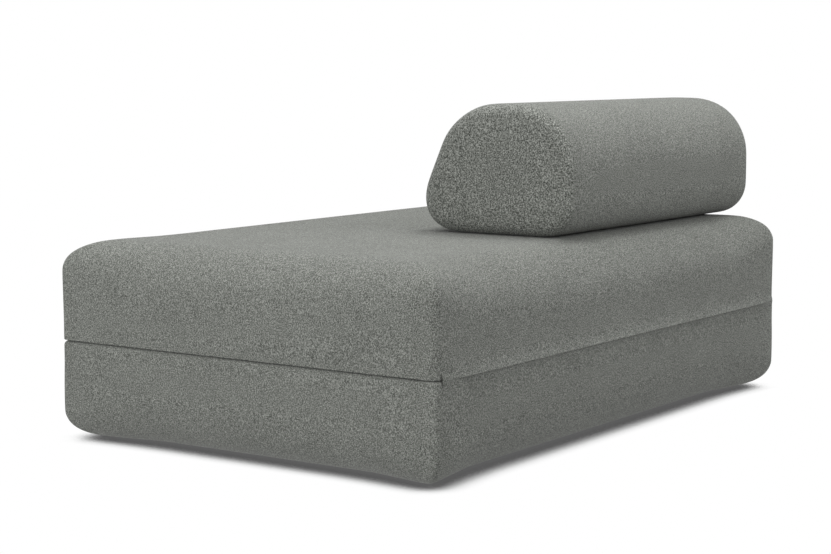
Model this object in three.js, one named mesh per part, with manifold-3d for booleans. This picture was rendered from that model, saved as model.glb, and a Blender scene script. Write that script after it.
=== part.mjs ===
// Futon sofa bed: two equal upholstered foam slabs hinged along their back edge by a strip of
// cloth, with a loose D-shaped bolster standing on the upper one as a backrest. Folded, it is a
// seat; the upper slab swings over the back edge to make a flat bed twice as deep.
//
// Frame, in millimetres: origin on the floor under the middle of the slabs, +X along the hinge,
// +Y towards the hinge side (the back of the seat), +Z up.

import * as THREE from 'three';
import { mergeVertices } from 'three/addons/utils/BufferGeometryUtils.js';
import Module from 'manifold-3d';

const wasm = await Module();
wasm.setup();

// Driving dimensions.
const slabLength = 1550;
const slabDepth = 1000;
const slabHeight = 220;
const slabGap = 1;              // air between the two closed slabs
const outerEdgeRadius = 118;    // seat edge and floor edge
const matingEdgeRadius = 17;    // edges of the two sleeping faces
const uprightEdgeRadius = 16;   // the four upright corners
const cloth = 2;                // cover cloth with its lining
const fitGap = 0.5;             // clearance between sewn or laid-in pieces
const waddingInset = 3.5;       // cover face to wadding
const waddingLoft = 8;
const foamInset = waddingInset + waddingLoft + fitGap;
const comfortThickness = 50;    // softer foam under the sleeping face
const seamAllowance = 2;        // cover turned in beyond the mating edge
const basePanelMargin = 7;      // flat cover border round the non-slip panel
const sleepPanelCorner = 4;     // corner radii of the flat panels
const basePanelCorner = 12;
const bolsterBaseCorner = 10;
const cutOver = 1;              // cutting solids run past the face they cut

const hingeCloth = 1.2;
const hingeStand = 0.3;         // strip to the cover's back face
const hingeLeaf = 35;           // how far each leaf reaches from the fold
const hingeFoldGap = 0.3;

const bolsterNear = 150;        // X of its near end
const bolsterFar = -768;        // X of its far end
const bolsterFront = 30;        // Y of its front at the foot
const bolsterBack = 430;        // Y of its upright back
const bolsterHeight = 294;
const bolsterStand = 0.3;       // bolster base to the seat
const bolsterFootFront = 95;    // radius under the front
const bolsterFootBack = 79;     // radius under the back
const bolsterCrown = 140;       // radius of both top edges
const bolsterLean = 78;         // front top edge's centre behind the front foot's
const bolsterEndRadius = 30;    // radius round each end
const endPanelInset = 31;

const zipTapeWidth = 24;
const zipTapeDepth = 1.6;
const zipTapeSunk = 0.4;        // tape below the cloth's outer face
const zipCoilHalf = 2.6;
const zipCoilRise = 1.0;
const zipCoilSlope = 0.6;       // coil's sides lean in by this
const slabZipLength = 900;
const slabZipBelowMating = 35;
const bolsterZipLength = 230;
const bolsterZipRise = 60;      // above the bolster's base
const bolsterZipY = (bolsterFront + bolsterBack) / 2;
const sliderLength = 12;
const sliderHalfWidth = 5.5;
const sliderChannelHalf = 3.2;
const sliderTop = 3.0;
const sliderFoot = -0.1;        // its edges ride just below the cloth's face
const sliderCoilRoom = 0.3;
const sliderSlope = 0.8;
const bridgeHalf = 5;           // half length of the bridge for the pull
const bridgeInside = 3.5;
const bridgeSunk = 0.5;         // bridge feet set into the saddle
const bridgeUnder = 5;
const bridgeTop = 6.2;
const bridgeChamfer = 0.8;
const bridgeWidth = 2.4;
const sliderEndRoom = 15;       // slider centre to the end of the tape
const pinHeight = 4.0;          // pull's crossbar above the cloth
const pullLength = 36;
const pullThickness = 1.2;
const pullBarHalf = 0.6;        // crossbar that turns under the bridge
const pullFrameHalf = 3;
const pullEyeHalf = 1.8;
const pullEyeEnd = 6.5;
const pullTabStart = 9;
const pullTabHalf = 4;

const seatTop = 2 * slabHeight + slabGap;
const foldPlane = slabHeight + slabGap / 2;
const arcSteps = 4;             // half the chords of each arc
const cornerChords = 5;         // odd, so that a mitre line never runs along a chord's end
const weldDistance = 0.02;      // shorter edges are closed up

const clothFinish = { color: 0x72746f, roughness: 0.95, metalness: 0.0 };
const sleepFinish = { color: 0x7a7c77, roughness: 0.95, metalness: 0.0 };
const gripFinish = { color: 0x2c2d2c, roughness: 0.9, metalness: 0.0 };
const foamFinish = { color: 0xd9cfa6, roughness: 1.0, metalness: 0.0 };
const softFoamFinish = { color: 0xb9cbd6, roughness: 1.0, metalness: 0.0 };
const waddingFinish = { color: 0xeeeeea, roughness: 1.0, metalness: 0.0 };
const tapeFinish = { color: 0x5d5f5b, roughness: 0.8, metalness: 0.0 };
const metalFinish = { color: 0x8a8c8c, roughness: 0.35, metalness: 1.0 };

// Closed geometry to a solid that can be cut and joined, and back.
function solidOf(geometry) {
  const bare = geometry.clone();
  bare.deleteAttribute('normal');
  bare.deleteAttribute('uv');
  const merged = mergeVertices(bare, 1e-3);
  const vertProperties = new Float32Array(merged.attributes.position.array);
  const triVerts = new Uint32Array(merged.index.array);
  return new wasm.Manifold(new wasm.Mesh({ numProp: 3, vertProperties, triVerts }));
}

function geometryOf(solid) {
  const cut = solid.simplify(weldDistance).getMesh();
  const geometry = new THREE.BufferGeometry();
  geometry.setAttribute('position', new THREE.BufferAttribute(cut.vertProperties, 3));
  geometry.setIndex(new THREE.BufferAttribute(cut.triVerts, 1));
  geometry.computeVertexNormals();
  return geometry;
}

function namedMesh(name, geometry, finish) {
  const mesh = new THREE.Mesh(geometry, new THREE.MeshStandardMaterial(finish));
  mesh.name = name;
  return mesh;
}

// Rectangle centred on x, standing on y = 0, with its own radii at the bottom and the top.
function roundedOutline(width, height, bottomRadius, topRadius) {
  const half = width / 2;
  const outline = new THREE.Shape();
  outline.moveTo(-half + bottomRadius, 0);
  outline.lineTo(half - bottomRadius, 0);
  outline.absarc(half - bottomRadius, bottomRadius, bottomRadius, -Math.PI / 2, 0);
  outline.lineTo(half, height - topRadius);
  outline.absarc(half - topRadius, height - topRadius, topRadius, 0, Math.PI / 2);
  outline.lineTo(-half + topRadius, height);
  outline.absarc(-half + topRadius, height - topRadius, topRadius, Math.PI / 2, Math.PI);
  outline.lineTo(-half, bottomRadius);
  outline.absarc(-half + bottomRadius, bottomRadius, bottomRadius, Math.PI, 1.5 * Math.PI);
  return outline;
}

// Outline extruded by depth, centred on that direction, then turned so that its own axes
// lie along the three given ones.
function extruded(outline, depth, alongX, alongY, alongZ) {
  const settings = { depth, bevelEnabled: false, curveSegments: arcSteps };
  const geometry = new THREE.ExtrudeGeometry(outline, settings);
  geometry.translate(0, 0, -depth / 2);
  geometry.applyMatrix4(new THREE.Matrix4().makeBasis(alongX, alongY, alongZ));
  return geometry;
}

const axisX = new THREE.Vector3(1, 0, 0);
const axisY = new THREE.Vector3(0, 1, 0);
const axisZ = new THREE.Vector3(0, 0, 1);
const backY = new THREE.Vector3(0, -1, 0);

// Plate in the XY plane with round corners, between two heights.
function plate(width, depth, radius, low, high) {
  const outline = new THREE.Shape();
  for (let step = 0; step < 4 * (cornerChords + 1); step += 1) {
    const corner = Math.floor(step / (cornerChords + 1));
    const turn = (corner + (step % (cornerChords + 1)) / cornerChords) * (Math.PI / 2);
    const sideX = corner === 0 || corner === 3 ? 1 : -1;
    const sideY = corner < 2 ? 1 : -1;
    const x = sideX * (width / 2 - radius) + radius * Math.cos(turn);
    const y = sideY * (depth / 2 - radius) + radius * Math.sin(turn);
    if (step === 0) outline.moveTo(x, y);
    else outline.lineTo(x, y);
  }
  const geometry = extruded(outline, high - low, axisX, axisY, axisZ);
  return geometry.translate(0, 0, (low + high) / 2);
}

// The lower slab's form, with its sleeping face up, shrunk by inset on its sides and by its
// own amounts at the bottom and the top. Two crossed profiles meet in mitred corners, as the
// four panels of the cover do.
function slabForm(inset, bottomInset = inset, topInset = inset) {
  const length = slabLength - 2 * inset;
  const depth = slabDepth - 2 * inset;
  const height = slabHeight - bottomInset - topInset;
  const outerRadius = outerEdgeRadius - inset;
  const innerRadius = matingEdgeRadius - inset;
  const side = roundedOutline(length, height, outerRadius, innerRadius);
  const end = roundedOutline(depth, height, outerRadius, innerRadius);
  const lengthwise = solidOf(extruded(side, depth + 2 * cutOver, axisX, axisZ, backY));
  const crosswise = solidOf(extruded(end, length + 2 * cutOver, axisY, axisZ, axisX));
  const upright = solidOf(plate(length, depth, uprightEdgeRadius - inset, 0, height));
  return lengthwise.intersect(crosswise).intersect(upright).translate([0, 0, bottomInset]);
}

function boxSolid(width, depth, height, x, y, z) {
  return solidOf(new THREE.BoxGeometry(width, depth, height).translate(x, y, z));
}

// Cover of one slab: a tub of cloth, turned in at the sleeping face, with a slot for its zip
// in the far end. The lower cover is also open below for the non-slip panel.
function slabCover(name, openBelow) {
  const openLength = slabLength - 2 * (matingEdgeRadius + seamAllowance);
  const openDepth = slabDepth - 2 * (matingEdgeRadius + seamAllowance);
  const mouthFloor = slabHeight - 2 * cloth;
  const mouth = plate(openLength, openDepth, sleepPanelCorner, mouthFloor, slabHeight + cutOver);
  let shell = slabForm(0).subtract(slabForm(cloth)).subtract(solidOf(mouth));
  const slotZ = slabHeight - slabZipBelowMating;
  const slotWidth = zipTapeWidth + 2 * fitGap;
  const slotLength = slabZipLength + 2 * fitGap;
  shell = shell.subtract(boxSolid(4 * cloth, slotLength, slotWidth, -slabLength / 2, 0, slotZ));
  if (openBelow) {
    const margin = outerEdgeRadius + basePanelMargin - fitGap;
    const length = slabLength - 2 * margin;
    const depth = slabDepth - 2 * margin;
    shell = shell.subtract(solidOf(plate(length, depth, basePanelCorner, -cutOver, 2 * cloth)));
  }
  return namedMesh(name, geometryOf(shell), clothFinish);
}

function sleepPanel(name) {
  const length = slabLength - 2 * (matingEdgeRadius + seamAllowance + fitGap);
  const depth = slabDepth - 2 * (matingEdgeRadius + seamAllowance + fitGap);
  const panel = plate(length, depth, sleepPanelCorner, slabHeight - cloth, slabHeight);
  return namedMesh(name, panel, sleepFinish);
}

function basePanel(name) {
  const margin = outerEdgeRadius + basePanelMargin;
  const length = slabLength - 2 * margin;
  const depth = slabDepth - 2 * margin;
  const panel = plate(length, depth, basePanelCorner, 0, cloth);
  return namedMesh(name, panel, gripFinish);
}

// Wadding lines the tub and is open towards the sleeping face.
function slabWadding(name) {
  const outer = slabForm(waddingInset, waddingInset, cloth + fitGap);
  const hollow = slabForm(waddingInset + waddingLoft, waddingInset + waddingLoft, -slabHeight);
  return namedMesh(name, geometryOf(outer.subtract(hollow)), waddingFinish);
}

// Firm core below and softer comfort layer above, cut from one block.
function slabFoam(coreName, comfortName) {
  const block = slabForm(foamInset, foamInset, cloth + fitGap);
  const split = slabHeight - cloth - fitGap - comfortThickness;
  const above = boxSolid(slabLength, slabDepth, slabHeight, 0, 0, split + slabHeight / 2);
  const below = boxSolid(slabLength, slabDepth, slabHeight, 0, 0, split - fitGap - slabHeight / 2);
  const core = namedMesh(coreName, geometryOf(block.intersect(below)), foamFinish);
  const comfort = namedMesh(comfortName, geometryOf(block.intersect(above)), softFoamFinish);
  return [core, comfort];
}

// One leaf of the cloth hinge, lying on the back face from the fold down. The side is +1 where
// the slab's back face looks along its own +Y and -1 where it looks along -Y.
function hingeLeafStrip(name, side) {
  const length = slabLength - 2 * (matingEdgeRadius + seamAllowance);
  const geometry = new THREE.BoxGeometry(length, hingeCloth, hingeLeaf);
  const y = side * (slabDepth / 2 + hingeStand + hingeCloth / 2);
  const top = foldPlane - hingeFoldGap;
  return namedMesh(name, geometry.translate(0, y, top - hingeLeaf / 2), clothFinish);
}

// Zip parts share a frame of their own: x along the tape, y across it, z out of the cloth.
function zipTape(name, length) {
  const half = zipTapeWidth / 2;
  const top = -zipTapeSunk;
  const bottom = top - zipTapeDepth;
  const section = new THREE.Shape();
  section.moveTo(-half, bottom);
  section.lineTo(half, bottom);
  section.lineTo(half, top);
  section.lineTo(zipCoilHalf, top);
  section.lineTo(zipCoilHalf - zipCoilSlope, zipCoilRise);
  section.lineTo(-zipCoilHalf + zipCoilSlope, zipCoilRise);
  section.lineTo(-zipCoilHalf, top);
  section.lineTo(-half, top);
  return namedMesh(name, extruded(section, length, axisY, axisZ, axisX), tapeFinish);
}

// Slider: a saddle over the coil with a bridge for the pull.
function zipSlider(name) {
  const channelTop = zipCoilRise + sliderCoilRoom;
  const saddle = new THREE.Shape();
  saddle.moveTo(-sliderHalfWidth, sliderFoot);
  saddle.lineTo(-sliderChannelHalf, sliderFoot);
  saddle.lineTo(-sliderChannelHalf, channelTop);
  saddle.lineTo(sliderChannelHalf, channelTop);
  saddle.lineTo(sliderChannelHalf, sliderFoot);
  saddle.lineTo(sliderHalfWidth, sliderFoot);
  saddle.lineTo(sliderHalfWidth - sliderSlope, sliderTop);
  saddle.lineTo(-sliderHalfWidth + sliderSlope, sliderTop);
  const bridge = new THREE.Shape();
  bridge.moveTo(-bridgeHalf, sliderTop - bridgeSunk);
  bridge.lineTo(-bridgeInside, sliderTop - bridgeSunk);
  bridge.lineTo(-bridgeInside, bridgeUnder);
  bridge.lineTo(bridgeInside, bridgeUnder);
  bridge.lineTo(bridgeInside, sliderTop - bridgeSunk);
  bridge.lineTo(bridgeHalf, sliderTop - bridgeSunk);
  bridge.lineTo(bridgeHalf, bridgeTop - bridgeChamfer);
  bridge.lineTo(bridgeHalf - bridgeChamfer, bridgeTop);
  bridge.lineTo(-bridgeHalf + bridgeChamfer, bridgeTop);
  bridge.lineTo(-bridgeHalf, bridgeTop - bridgeChamfer);
  const body = solidOf(extruded(saddle, sliderLength, axisY, axisZ, axisX));
  const arch = solidOf(extruded(bridge, bridgeWidth, axisX, axisZ, backY));
  return namedMesh(name, geometryOf(body.add(arch)), metalFinish);
}

// Pull: a frame round the bridge, with its crossbar at x = 0, and a tab with a round end.
function zipPull(name) {
  const roundEnd = pullLength - pullTabHalf;
  const tab = new THREE.Shape();
  tab.moveTo(-pullBarHalf, -pullFrameHalf);
  tab.lineTo(pullEyeEnd, -pullFrameHalf);
  tab.lineTo(pullTabStart, -pullTabHalf);
  tab.lineTo(roundEnd, -pullTabHalf);
  tab.absarc(roundEnd, 0, pullTabHalf, -Math.PI / 2, Math.PI / 2);
  tab.lineTo(pullTabStart, pullTabHalf);
  tab.lineTo(pullEyeEnd, pullFrameHalf);
  tab.lineTo(-pullBarHalf, pullFrameHalf);
  const eye = new THREE.Path();
  eye.moveTo(pullBarHalf, -pullEyeHalf);
  eye.lineTo(pullBarHalf, pullEyeHalf);
  eye.lineTo(pullEyeEnd, pullEyeHalf);
  eye.lineTo(pullEyeEnd, -pullEyeHalf);
  tab.holes.push(eye);
  const geometry = extruded(tab, pullThickness, axisX, axisY, axisZ);
  return namedMesh(name, geometry.translate(0, 0, pinHeight), metalFinish);
}

// A whole zip on an end face that looks along -X, closed, with its slider at the +Y end.
function zipOnEnd(prefix, length, x, y, z) {
  const zip = new THREE.Group();
  const outward = new THREE.Vector3(-1, 0, 0);
  zip.setRotationFromMatrix(new THREE.Matrix4().makeBasis(backY, axisZ, outward));
  zip.position.set(x, y, z);
  const slider = zipSlider(`${prefix}_zip_slider`);
  const pull = zipPull(`${prefix}_zip_pull`);
  slider.position.x = -length / 2 + sliderEndRoom;
  pull.position.x = slider.position.x;
  zip.add(zipTape(`${prefix}_zip_tape`, length), slider, pull);
  return zip;
}

// Everything that belongs to one slab, with its sleeping face up.
function slabSection(prefix, openBelow, hingeSide) {
  const section = new THREE.Group();
  section.add(slabCover(`${prefix}_cover`, openBelow));
  section.add(sleepPanel(`${prefix}_sleep_panel`));
  section.add(slabWadding(`${prefix}_wadding`));
  section.add(...slabFoam(`${prefix}_core`, `${prefix}_comfort_layer`));
  section.add(hingeLeafStrip(`${prefix}_hinge_leaf`, hingeSide));
  const zipZ = slabHeight - slabZipBelowMating;
  section.add(zipOnEnd(prefix, slabZipLength, -slabLength / 2, 0, zipZ));
  if (openBelow) section.add(basePanel(`${prefix}_base_panel`));
  return section;
}

// Bolster section in (y, z) from its base: flat base, upright back, a crown of one radius on
// both top edges, and a front that leans back from the foot along the common tangent.
function bolsterOutline(inset) {
  const footX = bolsterFront + bolsterFootFront;
  const footZ = bolsterFootFront;
  const crownZ = bolsterHeight - bolsterCrown;
  const frontCrownX = footX + bolsterLean;
  const backCrownX = bolsterBack - bolsterCrown;
  const backFootX = bolsterBack - bolsterFootBack;
  const run = frontCrownX - footX;
  const rise = crownZ - footZ;
  const spread = Math.acos((bolsterFootFront - bolsterCrown) / Math.hypot(run, rise));
  const lean = Math.atan2(rise, run) + spread;
  const outline = new THREE.Shape();
  outline.moveTo(footX, inset);
  outline.lineTo(backFootX, inset);
  outline.absarc(backFootX, bolsterFootBack, bolsterFootBack - inset, -Math.PI / 2, 0);
  outline.lineTo(bolsterBack - inset, crownZ);
  outline.absarc(backCrownX, crownZ, bolsterCrown - inset, 0, Math.PI / 2);
  outline.lineTo(frontCrownX, bolsterHeight - inset);
  outline.absarc(frontCrownX, crownZ, bolsterCrown - inset, Math.PI / 2, lean);
  outline.absarc(footX, footZ, bolsterFootFront - inset, lean, 1.5 * Math.PI);
  return outline;
}

const bolsterTurn = new THREE.Matrix4().makeBasis(axisY, axisZ, axisX);

// The bolster's form shrunk by inset, with rounded ends.
function bolsterForm(inset, endInset = inset) {
  const radius = bolsterEndRadius - inset;
  const depth = bolsterNear - bolsterFar - 2 * endInset - 2 * radius;
  const geometry = new THREE.ExtrudeGeometry(bolsterOutline(inset), {
    depth,
    curveSegments: arcSteps,
    bevelThickness: radius,
    bevelSize: radius,
    bevelOffset: -radius,
    bevelSegments: 4,
  });
  geometry.translate(0, 0, bolsterFar + endInset + radius);
  return solidOf(geometry.applyMatrix4(bolsterTurn));
}

// Straight prism of the bolster's section between two X positions.
function bolsterSlice(inset, low, high) {
  const settings = { depth: high - low, bevelEnabled: false, curveSegments: arcSteps };
  const geometry = new THREE.ExtrudeGeometry(bolsterOutline(inset), settings);
  geometry.translate(0, 0, low);
  return solidOf(geometry.applyMatrix4(bolsterTurn));
}

function bolsterBase(grow, low, high) {
  const front = bolsterFront + bolsterFootFront + basePanelMargin - grow;
  const back = bolsterBack - bolsterFootBack - basePanelMargin + grow;
  const inner = bolsterEndRadius + basePanelMargin - grow;
  const length = bolsterNear - bolsterFar - 2 * inner;
  const middle = (bolsterNear + bolsterFar) / 2;
  const base = plate(length, back - front, bolsterBaseCorner, low, high);
  return base.translate(middle, (front + back) / 2, 0);
}

// Wrap: the cloth round the bolster, open at both ends and below for its sewn-in panels.
function bolsterCover() {
  const margin = endPanelInset;
  const shell = bolsterForm(0).subtract(bolsterForm(cloth));
  const ends = bolsterSlice(margin, bolsterFar - cutOver, bolsterFar + 2 * cloth)
    .add(bolsterSlice(margin, bolsterNear - 2 * cloth, bolsterNear + cutOver));
  const below = solidOf(bolsterBase(fitGap, -cutOver, 2 * cloth));
  return namedMesh('bolster_cover', geometryOf(shell.subtract(ends).subtract(below)), clothFinish);
}

function bolsterEnds() {
  const inset = endPanelInset + fitGap;
  const slotLength = bolsterZipLength + 2 * fitGap;
  const slotWidth = zipTapeWidth + 2 * fitGap;
  const slot = boxSolid(4 * cloth, slotLength, slotWidth, bolsterFar, bolsterZipY, bolsterZipRise);
  const near = bolsterSlice(inset, bolsterNear - cloth, bolsterNear);
  const far = bolsterSlice(inset, bolsterFar, bolsterFar + cloth).subtract(slot);
  return [
    namedMesh('bolster_end_near', geometryOf(near), clothFinish),
    namedMesh('bolster_end_far', geometryOf(far), clothFinish),
  ];
}

function bolsterFilling() {
  const outer = bolsterForm(waddingInset);
  const inner = waddingInset + waddingLoft;
  const tunnel = bolsterSlice(inner, bolsterFar - cutOver, bolsterNear + cutOver);
  const core = bolsterForm(foamInset, foamInset);
  return [
    namedMesh('bolster_wadding', geometryOf(outer.subtract(tunnel)), waddingFinish),
    namedMesh('bolster_core', geometryOf(core), foamFinish),
  ];
}

function bolster() {
  const group = new THREE.Group();
  group.position.z = seatTop + bolsterStand;
  group.add(bolsterCover(), ...bolsterEnds(), ...bolsterFilling());
  group.add(namedMesh('bolster_base_panel', bolsterBase(0, 0, cloth), gripFinish));
  group.add(zipOnEnd('bolster', bolsterZipLength, bolsterFar, bolsterZipY, bolsterZipRise));
  return group;
}

const group = new THREE.Group();
const lower = slabSection('lower', true, 1);
const upper = slabSection('upper', false, -1);
upper.rotation.x = Math.PI;
upper.position.z = seatTop;
group.add(lower, upper, bolster());

export default group;
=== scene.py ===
import bpy
import bmesh
import math
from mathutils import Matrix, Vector


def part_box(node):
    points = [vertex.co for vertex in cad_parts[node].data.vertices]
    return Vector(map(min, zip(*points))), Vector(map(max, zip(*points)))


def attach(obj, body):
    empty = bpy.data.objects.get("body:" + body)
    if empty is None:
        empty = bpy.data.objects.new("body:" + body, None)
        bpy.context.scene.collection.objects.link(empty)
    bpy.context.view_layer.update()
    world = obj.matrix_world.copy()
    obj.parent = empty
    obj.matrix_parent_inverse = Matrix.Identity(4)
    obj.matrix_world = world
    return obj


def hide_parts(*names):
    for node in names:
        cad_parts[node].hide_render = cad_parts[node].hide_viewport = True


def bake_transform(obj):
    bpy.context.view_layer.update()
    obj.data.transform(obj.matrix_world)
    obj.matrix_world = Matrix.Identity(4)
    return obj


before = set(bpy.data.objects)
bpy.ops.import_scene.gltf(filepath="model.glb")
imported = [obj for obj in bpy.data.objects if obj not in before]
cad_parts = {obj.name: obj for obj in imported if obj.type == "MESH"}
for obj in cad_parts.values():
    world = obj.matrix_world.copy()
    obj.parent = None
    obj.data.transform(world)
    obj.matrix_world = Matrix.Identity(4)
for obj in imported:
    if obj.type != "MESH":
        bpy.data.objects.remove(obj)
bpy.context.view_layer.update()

studio = {
    "cameraPlace": (3.8133, 2.5405, 0.8359),
    "cameraTurn": 34.54,        # degrees from -X towards -Y
    "cameraDip": 6.435,         # degrees below level
    "lens": 84.21,
    "sensor": 36.0,
    "domeStrength": 0.599,      # light from all round
    "backdropStrength": 1.0,    # what the camera sees behind the floor
    "floorSize": 60.0,
    "floorDrop": 0.0005,        # keeps it just clear of the underside
    "aim": (0.0, 0.0, 0.25),    # where all the lights point
    "floorGlow": 1.0,
    "floorBounce": 0.608,       # what the floor throws back at the cushions
    "shadowReach": 0.075,       # how far the contact shadow spreads
    "shadowStops": ((0.0, 0.12), (0.165, 0.085), (0.33, 0.13), (0.4, 0.52),
                    (0.55, 0.88), (0.68, 1.0)),
}

lights = {
    "overheadSoftbox": {"place": (-0.1, 0.0, 3.4), "size": 3.6, "power": 70.0},
    "overheadSpot": {"place": (-0.7, 0.6, 3.4), "size": 0.6, "power": 30.4},
    "sideSoftbox": {"place": (4.2, -0.3, 0.55), "size": 2.0, "power": 66.6},
    "highSideSoftbox": {"place": (3.0, -0.3, 2.6), "size": 2.0, "power": 21.3},
    "backSoftbox": {"place": (-0.3, 3.4, 2.4), "size": 2.2, "power": 43.4},
}


def clearPick():
    bpy.ops.object.select_all(action="DESELECT")


def makeActive(piece):
    clearPick()
    piece.select_set(True)
    bpy.context.view_layer.objects.active = piece


def cubeBetween(name, low, high):
    low, high = Vector(low), Vector(high)
    clearPick()
    bpy.ops.mesh.primitive_cube_add(size=1, location=(low + high) / 2, scale=high - low)
    piece = bpy.context.object
    piece.name = name
    piece.data.name = name
    bpy.ops.object.transform_apply(location=True, rotation=True, scale=True)
    return piece


def pickEdges(piece, test):
    # edit mode: selects the edges whose two ends pass the test
    bpy.ops.mesh.select_mode(type="EDGE")
    bpy.ops.mesh.select_all(action="DESELECT")
    work = bmesh.from_edit_mesh(piece.data)
    for edge in work.edges:
        if test(edge.verts[0].co, edge.verts[1].co):
            edge.select_set(True)
    bmesh.update_edit_mesh(piece.data)


def pickFaces(piece, test):
    bpy.ops.mesh.select_mode(type="FACE")
    bpy.ops.mesh.select_all(action="DESELECT")
    work = bmesh.from_edit_mesh(piece.data)
    for face in work.faces:
        if test(face.calc_center_median(), face.normal):
            face.select_set(True)
    bmesh.update_edit_mesh(piece.data)


def cutLines(piece, axis, places):
    # edit mode: straight cuts right round the piece, square to one axis
    normal = [0.0, 0.0, 0.0]
    normal[axis] = 1.0
    for place in places:
        spot = [0.0, 0.0, 0.0]
        spot[axis] = place
        bpy.ops.mesh.select_all(action="SELECT")
        bpy.ops.mesh.bisect(plane_co=spot, plane_no=normal, threshold=0.0004)


def evenSteps(low, high, pitch):
    count = max(1, round((high - low) / pitch))
    return [low + (high - low) * step / count for step in range(1, count)]


def near(a, b, slack=0.0006):
    return abs(a - b) < slack


def creaseHeld(piece, test):
    pickEdges(piece, test)
    bpy.ops.transform.edge_crease(value=1.0)


def recess(piece, axis, place, low, high, depth):
    # edit mode: sinks a rectangle of one flat side by depth, with a crisp rim
    sides = [side for side in range(3) if side != axis]

    def onPlane(middle, normal):
        return near(middle[axis], place) and abs(normal[axis]) > 0.99

    for side in sides:
        for border in (low[side], high[side]):
            spot, normal = [0.0, 0.0, 0.0], [0.0, 0.0, 0.0]
            spot[side] = border
            normal[side] = 1.0
            pickFaces(piece, onPlane)
            bpy.ops.mesh.bisect(plane_co=spot, plane_no=normal, threshold=0.0002)
    pickFaces(piece, lambda middle, normal: onPlane(middle, normal)
              and all(low[side] < middle[side] < high[side] for side in sides))
    step = [0.0, 0.0, 0.0]
    step[axis] = depth
    bpy.ops.mesh.extrude_region_move(TRANSFORM_OT_translate={"value": step})

    def onRim(spot):
        level = near(spot[axis], place) or near(spot[axis], place + depth)
        within = all(low[side] - 0.0005 < spot[side] < high[side] + 0.0005 for side in sides)
        return level and within and any(near(spot[side], low[side]) or near(spot[side], high[side])
                                        for side in sides)
    creaseHeld(piece, lambda a, b: onRim(a) and onRim(b))


def applied(piece, kind, **settings):
    # adds one modifier, sets it up and applies it
    makeActive(piece)
    bpy.ops.object.modifier_add(type=kind)
    modifier = piece.modifiers[-1]
    for name, value in settings.items():
        setattr(modifier, name, value)
    bpy.ops.object.modifier_apply(modifier=modifier.name)


def joined(name, pieces):
    makeActive(pieces[0])
    for piece in pieces[1:]:
        piece.select_set(True)
    bpy.ops.object.join()
    pieces[0].name = name
    pieces[0].data.name = name
    return pieces[0]


recessEase = {
    "panel": Vector((0.0008, 0.0008, 0)),
    "slot": Vector((0, 0.0006, 0.0004)),
}


def settle(piece, body, slotName, *nodes, fill=None):
    # which body it rides on and which frame pieces it stands for; slotName, the finish, is not used
    if nodes:
        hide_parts(*nodes)
    if body:
        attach(piece, body)


def finishWith(piece, material):
    piece.data.materials.clear()
    piece.data.materials.append(material)


def setCamera():
    turn, dip = math.radians(studio["cameraTurn"]), math.radians(studio["cameraDip"])
    look = Vector((-math.cos(turn) * math.cos(dip), -math.sin(turn) * math.cos(dip), -math.sin(dip)))
    clearPick()
    bpy.ops.object.camera_add(location=studio["cameraPlace"])
    camera = bpy.context.object
    camera.name = "studioCamera"
    camera.rotation_mode = "QUATERNION"
    camera.rotation_quaternion = look.to_track_quat("-Z", "Y")
    camera.data.sensor_width = studio["sensor"]
    camera.data.lens = studio["lens"]
    camera.data.clip_end = 200.0
    bpy.context.scene.camera = camera


def areaLight(name, settings):
    clearPick()
    bpy.ops.object.light_add(type="AREA", location=settings["place"])
    light = bpy.context.object
    light.name = name
    aim = Vector(studio["aim"]) - Vector(settings["place"])
    light.rotation_mode = "QUATERNION"
    light.rotation_quaternion = aim.to_track_quat("-Z", "Y")
    light.data.shape = "DISK"
    light.data.size = settings["size"]
    light.data.energy = settings["power"]


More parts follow.
